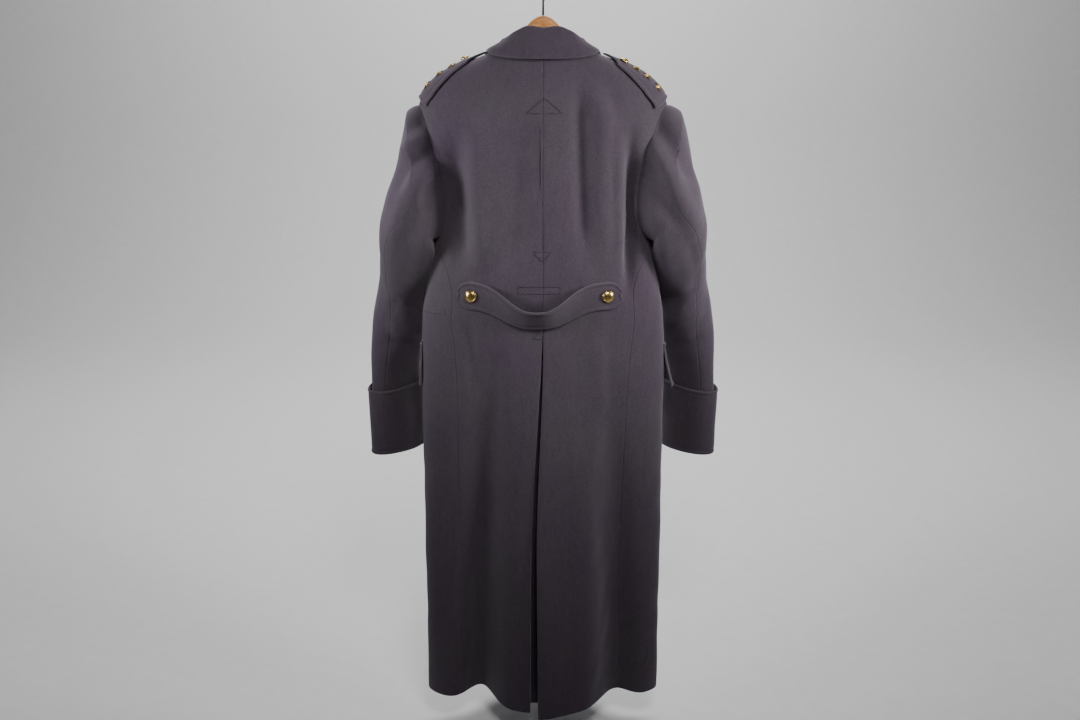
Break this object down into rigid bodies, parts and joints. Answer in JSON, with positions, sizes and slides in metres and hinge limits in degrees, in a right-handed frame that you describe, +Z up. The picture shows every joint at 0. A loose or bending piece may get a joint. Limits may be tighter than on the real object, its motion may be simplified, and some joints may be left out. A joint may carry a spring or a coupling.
{
  "type": "greatcoat on a wooden coat hanger",
  "caption": "Long grey wool greatcoat with half belt, back pleat, shoulder straps and turned-back cuffs, hanging empty on a wooden hanger.",
  "frame": {"origin": "inside top of the hanger's hook, where it rests on a rail", "axes": "+Z up, -Y out of the coat's back, +X towards the wearer's right"},
  "size_m": [0.6888, 0.2576, 1.4167],
  "materials": {
    "wool": "heavy milled wool, matt with a short nap",
    "gilt": "polished gilt",
    "wood": "waxed, warm orange brown",
    "wire": "dark drawn wire"
  },
  "bodies": {
    "root": {"skirt_pleat_underlay": "wool", "collar": "wool", "half_belt": "wool", "hip_welt_left": "wool", "back_left": "wool", "front_left": "wool", "lapel_left": "wool", "top_sleeve_left": "wool", "under_sleeve_left": "wool", "cuff_left": "wool", "shoulder_strap_left": "wool", "pocket_flap_left": "wool", "back_right": "wool", "front_right": "wool", "lapel_right": "wool", "top_sleeve_right": "wool", "under_sleeve_right": "wool", "cuff_right": "wool", "shoulder_strap_right": "wool", "pocket_flap_right": "wool", "strap_button_left": "gilt", "belt_button_left": "gilt", "rank_star_left_1": "gilt", "rank_star_left_2": "gilt", "rank_star_left_3": "gilt", "front_button_left_1": "gilt", "front_button_left_2": "gilt", "front_button_left_3": "gilt", "front_button_left_4": "gilt", "strap_button_right": "gilt", "belt_button_right": "gilt", "rank_star_right_1": "gilt", "rank_star_right_2": "gilt", "rank_star_right_3": "gilt", "front_button_right_1": "gilt", "front_button_right_2": "gilt", "front_button_right_3": "gilt", "front_button_right_4": "gilt", "hanger_bar": "wood", "hanger_hook": "wire"}
  },
  "joints": []
}
